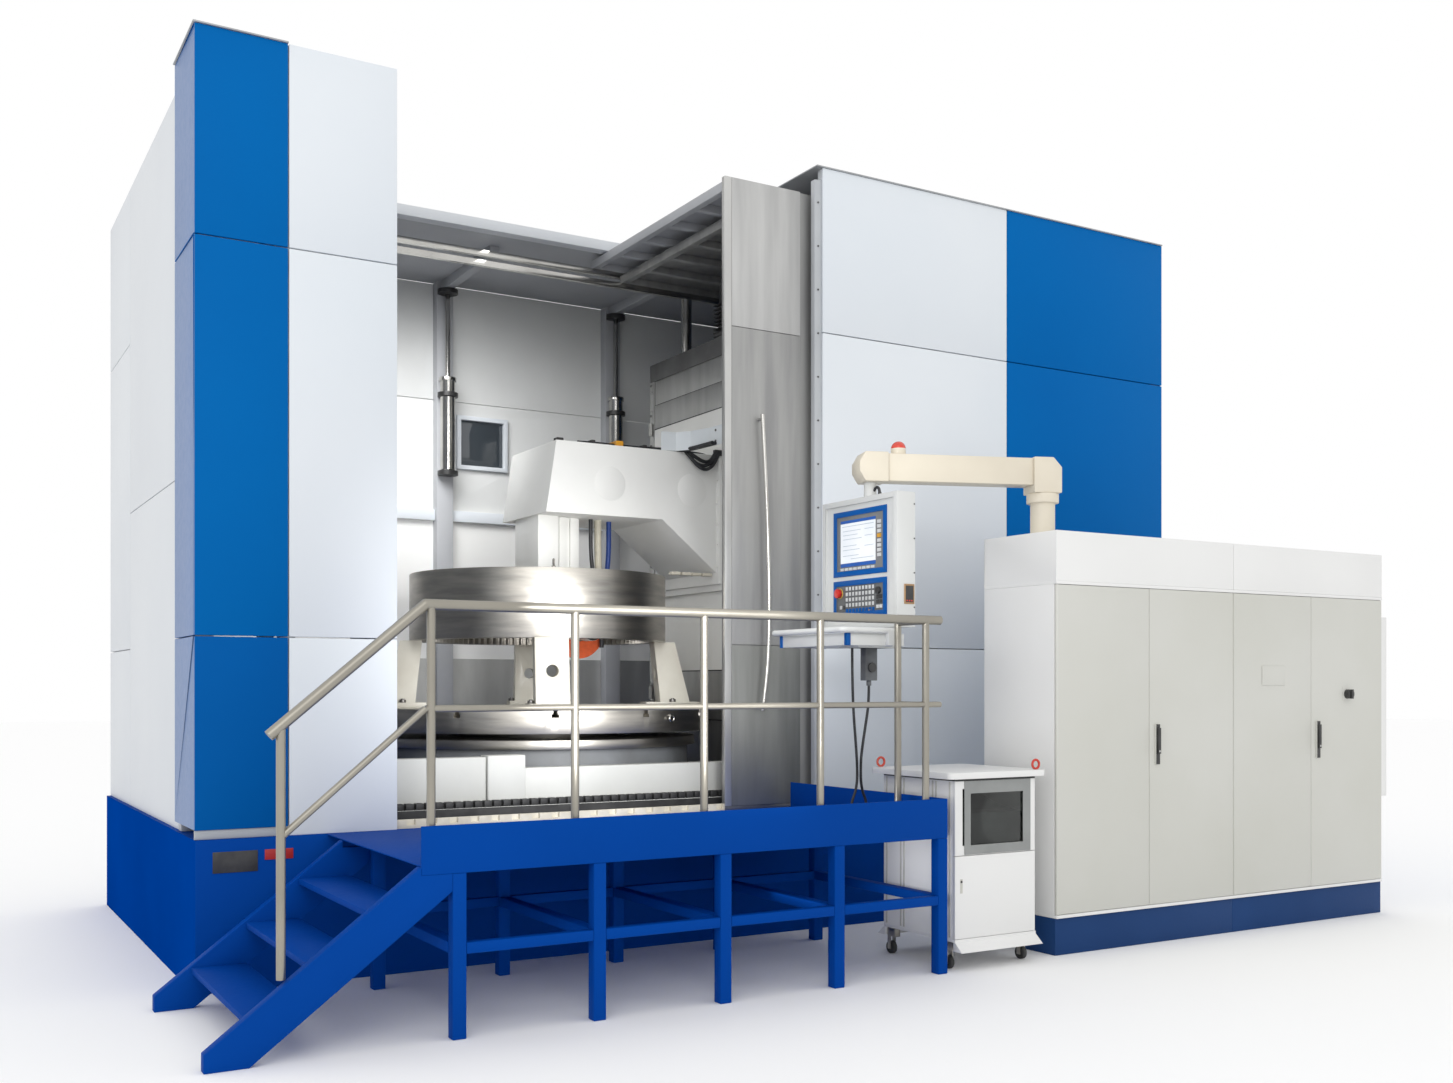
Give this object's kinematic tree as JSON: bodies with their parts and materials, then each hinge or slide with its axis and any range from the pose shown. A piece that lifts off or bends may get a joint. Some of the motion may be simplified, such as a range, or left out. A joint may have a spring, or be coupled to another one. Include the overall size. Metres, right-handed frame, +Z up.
{
  "type": "internal gear grinding machine",
  "caption": "Large internal gear grinding machine with sliding door, rotary table, platform with stair and rail, pendant, cabinet and cart.",
  "frame": {"origin": "on the floor under the axis of the rotary table", "axes": "+X towards the column and the electrical cabinet, +Y from the operator side to the back wall, +Z up"},
  "size_m": [8.181, 5.11, 5.06],
  "materials": {
    "blue_paint": "satin",
    "white_paint": "satin",
    "cream_paint": "satin",
    "grey_paint": "satin",
    "brushed_steel": "brushed",
    "stainless_tube": "polished",
    "cast_iron": "painted",
    "ground_steel": "ground",
    "abrasive": "matte",
    "black_plastic": "matte",
    "white_plastic": "satin",
    "red_plastic": "gloss",
    "grey_plastic": "matte",
    "rubber": "matte"
  },
  "bodies": {
    "machine_frame": {"base_frame": "blue_paint", "machine_bed": "cast_iron", "table_base": "cast_iron", "tower_frames": "white_paint", "white_front_panels": "white_paint", "blue_front_panels": "blue_paint", "side_walls": "white_paint", "back_wall": "grey_paint", "back_posts": "grey_paint", "rear_roof": "grey_paint", "bed_covers": "white_paint", "platform_deck": "blue_paint", "platform_frame": "blue_paint", "stairs": "blue_paint", "handrail": "stainless_tube", "cabinet_carcass": "white_paint", "pendant_post": "cream_paint", "cart_body": "white_paint"},
    "work_table": {"rotary_table": "ground_steel", "fixture_pillars": "cream_paint", "work_ring": "ground_steel"},
    "column": {"column_casting": "grey_paint", "column_cap": "cast_iron", "column_covers": "brushed_steel"},
    "upper_cover": {"upper_cover_middle": "brushed_steel"},
    "lower_cover": {"lower_cover_middle": "brushed_steel"},
    "carriage": {"carriage": "cream_paint", "grinding_arm": "cream_paint", "grinding_post": "cream_paint", "coolant_hoses": "rubber"},
    "wheel_spindle": {"grinding_wheel": "abrasive", "wheel_spindle": "ground_steel"},
    "front_door": {"front_door_leaf": "brushed_steel"},
    "rear_door": {"rear_door_leaf": "brushed_steel"},
    "pendant_arm": {"pendant_arm": "cream_paint"},
    "pendant_head": {"pendant_case": "white_plastic", "control_panel": "grey_plastic", "keyboard_tray": "grey_paint", "remote_unit": "grey_plastic", "remote_cord": "rubber"},
    "stop_button": {"stop_button": "red_plastic"},
    "feed_knob": {"feed_knob": "black_plastic"},
    "remote_hand_wheel": {"remote_hand_wheel": "black_plastic"},
    "cart_window_door": {"cart_window_door": "white_paint"},
    "cart_lower_door": {"cart_lower_door": "white_paint"},
    "main_switch": {"main_switch": "black_plastic"},
    "lock_lever_2": {"lock_lever_2": "black_plastic"},
    "lock_lever_4": {"lock_lever_4": "black_plastic"},
    "cabinet_door_1": {"cabinet_door_1": "white_paint"},
    "castor_fork_1": {"castor_fork_1": "ground_steel"},
    "castor_wheel_1": {"castor_wheel_1": "rubber"},
    "cabinet_door_2": {"cabinet_door_2": "white_paint"},
    "castor_fork_2": {"castor_fork_2": "ground_steel"},
    "castor_wheel_2": {"castor_wheel_2": "rubber"},
    "cabinet_door_3": {"cabinet_door_3": "white_paint"},
    "castor_fork_3": {"castor_fork_3": "ground_steel"},
    "castor_wheel_3": {"castor_wheel_3": "rubber"},
    "cabinet_door_4": {"cabinet_door_4": "white_paint"},
    "castor_fork_4": {"castor_fork_4": "ground_steel"},
    "castor_wheel_4": {"castor_wheel_4": "rubber"}
  },
  "joints": [
    {"name": "table_turn", "type": "hinge", "parent": "machine_frame", "child": "work_table", "pos_m": [0, 0, 1.455], "axis": [0, 0, 1], "continuous": true},
    {"name": "column_feed", "type": "slide", "parent": "machine_frame", "child": "column", "axis": [1, 0, 0], "range_m": [-0.03, 0.17]},
    {"name": "carriage_lift", "type": "slide", "parent": "column", "child": "carriage", "axis": [0, 0, 1], "range_m": [-0.2, 0.37]},
    {"name": "upper_cover_slide", "type": "slide", "parent": "column", "child": "upper_cover", "axis": [0, 0, 1], "range_m": [-0.1, 0.185]},
    {"name": "lower_cover_slide", "type": "slide", "parent": "column", "child": "lower_cover", "axis": [0, 0, 1], "range_m": [-0.1, 0.185]},
    {"name": "wheel_turn", "type": "hinge", "parent": "carriage", "child": "wheel_spindle", "pos_m": [0.3, 0, 2], "axis": [0, 1, 0], "continuous": true},
    {"name": "front_door_slide", "type": "slide", "parent": "machine_frame", "child": "front_door", "axis": [1, 0, 0], "range_m": [-2.176, 0]},
    {"name": "rear_door_slide", "type": "slide", "parent": "machine_frame", "child": "rear_door", "axis": [1, 0, 0], "range_m": [-1.088, 0]},
    {"name": "pendant_arm_swing", "type": "hinge", "parent": "machine_frame", "child": "pendant_arm", "pos_m": [2.169, -2.765, 2.728], "axis": [0, 0, 1], "range_deg": [-12, 0]},
    {"name": "pendant_head_turn", "type": "hinge", "parent": "pendant_arm", "child": "pendant_head", "pos_m": [1.13, -2.387, 2.73], "axis": [0, 0, 1], "range_deg": [-100, 0]},
    {"name": "stop_button_press", "type": "slide", "parent": "pendant_head", "child": "stop_button", "axis": [1, 0, 0], "range_m": [0, 0.006]},
    {"name": "feed_knob_turn", "type": "hinge", "parent": "pendant_head", "child": "feed_knob", "pos_m": [1.055, -2.58, 2.167], "axis": [1, 0, 0], "range_deg": [-135, 135]},
    {"name": "remote_wheel_turn", "type": "hinge", "parent": "pendant_head", "child": "remote_hand_wheel", "pos_m": [0.983, -2.64575, 1.711], "axis": [0, 1, 0], "continuous": true},
    {"name": "cabinet_door_1_swing", "type": "hinge", "parent": "machine_frame", "child": "cabinet_door_1", "pos_m": [2.0125, -3.049, 0.22], "axis": [0, 0, -1], "range_deg": [0, 90]},
    {"name": "cabinet_door_2_swing", "type": "hinge", "parent": "machine_frame", "child": "cabinet_door_2", "pos_m": [3.5515, -3.049, 0.22], "axis": [0, 0, 1], "range_deg": [0, 85]},
    {"name": "lock_lever_2_turn", "type": "hinge", "parent": "cabinet_door_2", "child": "lock_lever_2", "pos_m": [2.8455, -3.06, 1.331], "axis": [0, 1, 0], "range_deg": [0, 90]},
    {"name": "cabinet_door_3_swing", "type": "hinge", "parent": "machine_frame", "child": "cabinet_door_3", "pos_m": [3.5765, -3.049, 0.22], "axis": [0, 0, -1], "range_deg": [0, 85]},
    {"name": "cabinet_door_4_swing", "type": "hinge", "parent": "machine_frame", "child": "cabinet_door_4", "pos_m": [5.1155, -3.049, 0.22], "axis": [0, 0, 1], "range_deg": [0, 110]},
    {"name": "lock_lever_4_turn", "type": "hinge", "parent": "cabinet_door_4", "child": "lock_lever_4", "pos_m": [4.4095, -3.06, 1.331], "axis": [0, 1, 0], "range_deg": [0, 90]},
    {"name": "main_switch_turn", "type": "hinge", "parent": "cabinet_door_4", "child": "main_switch", "pos_m": [4.728, -3.06, 1.548], "axis": [0, 1, 0], "range_deg": [0, 90]},
    {"name": "cart_window_door_swing", "type": "hinge", "parent": "machine_frame", "child": "cart_window_door", "pos_m": [1.7885, -3.085, 0.645], "axis": [0, 0, 1], "range_deg": [0, 90]},
    {"name": "cart_lower_door_swing", "type": "hinge", "parent": "machine_frame", "child": "cart_lower_door", "pos_m": [1.7885, -3.085, 0.645], "axis": [0, 0, 1], "range_deg": [0, 90]},
    {"name": "castor_1_swivel", "type": "hinge", "parent": "machine_frame", "child": "castor_fork_1", "pos_m": [1.223, -3.03, 0.16], "axis": [0, 0, 1], "continuous": true},
    {"name": "castor_1_roll", "type": "hinge", "parent": "castor_fork_1", "child": "castor_wheel_1", "pos_m": [1.223, -3.002, 0.038], "axis": [1, 0, 0], "continuous": true},
    {"name": "castor_2_swivel", "type": "hinge", "parent": "machine_frame", "child": "castor_fork_2", "pos_m": [1.223, -2.505, 0.16], "axis": [0, 0, 1], "continuous": true},
    {"name": "castor_2_roll", "type": "hinge", "parent": "castor_fork_2", "child": "castor_wheel_2", "pos_m": [1.223, -2.477, 0.038], "axis": [1, 0, 0], "continuous": true},
    {"name": "castor_3_swivel", "type": "hinge", "parent": "machine_frame", "child": "castor_fork_3", "pos_m": [1.77, -3.03, 0.16], "axis": [0, 0, 1], "continuous": true},
    {"name": "castor_3_roll", "type": "hinge", "parent": "castor_fork_3", "child": "castor_wheel_3", "pos_m": [1.77, -3.002, 0.038], "axis": [1, 0, 0], "continuous": true},
    {"name": "castor_4_swivel", "type": "hinge", "parent": "machine_frame", "child": "castor_fork_4", "pos_m": [1.77, -2.505, 0.16], "axis": [0, 0, 1], "continuous": true},
    {"name": "castor_4_roll", "type": "hinge", "parent": "castor_fork_4", "child": "castor_wheel_4", "pos_m": [1.77, -2.477, 0.038], "axis": [1, 0, 0], "continuous": true}
  ],
  "couplings": [
    {"joint": "upper_cover_slide", "follows": "carriage_lift", "ratio": 0.5},
    {"joint": "lower_cover_slide", "follows": "carriage_lift", "ratio": 0.5},
    {"joint": "rear_door_slide", "follows": "front_door_slide", "ratio": 0.5}
  ]
}
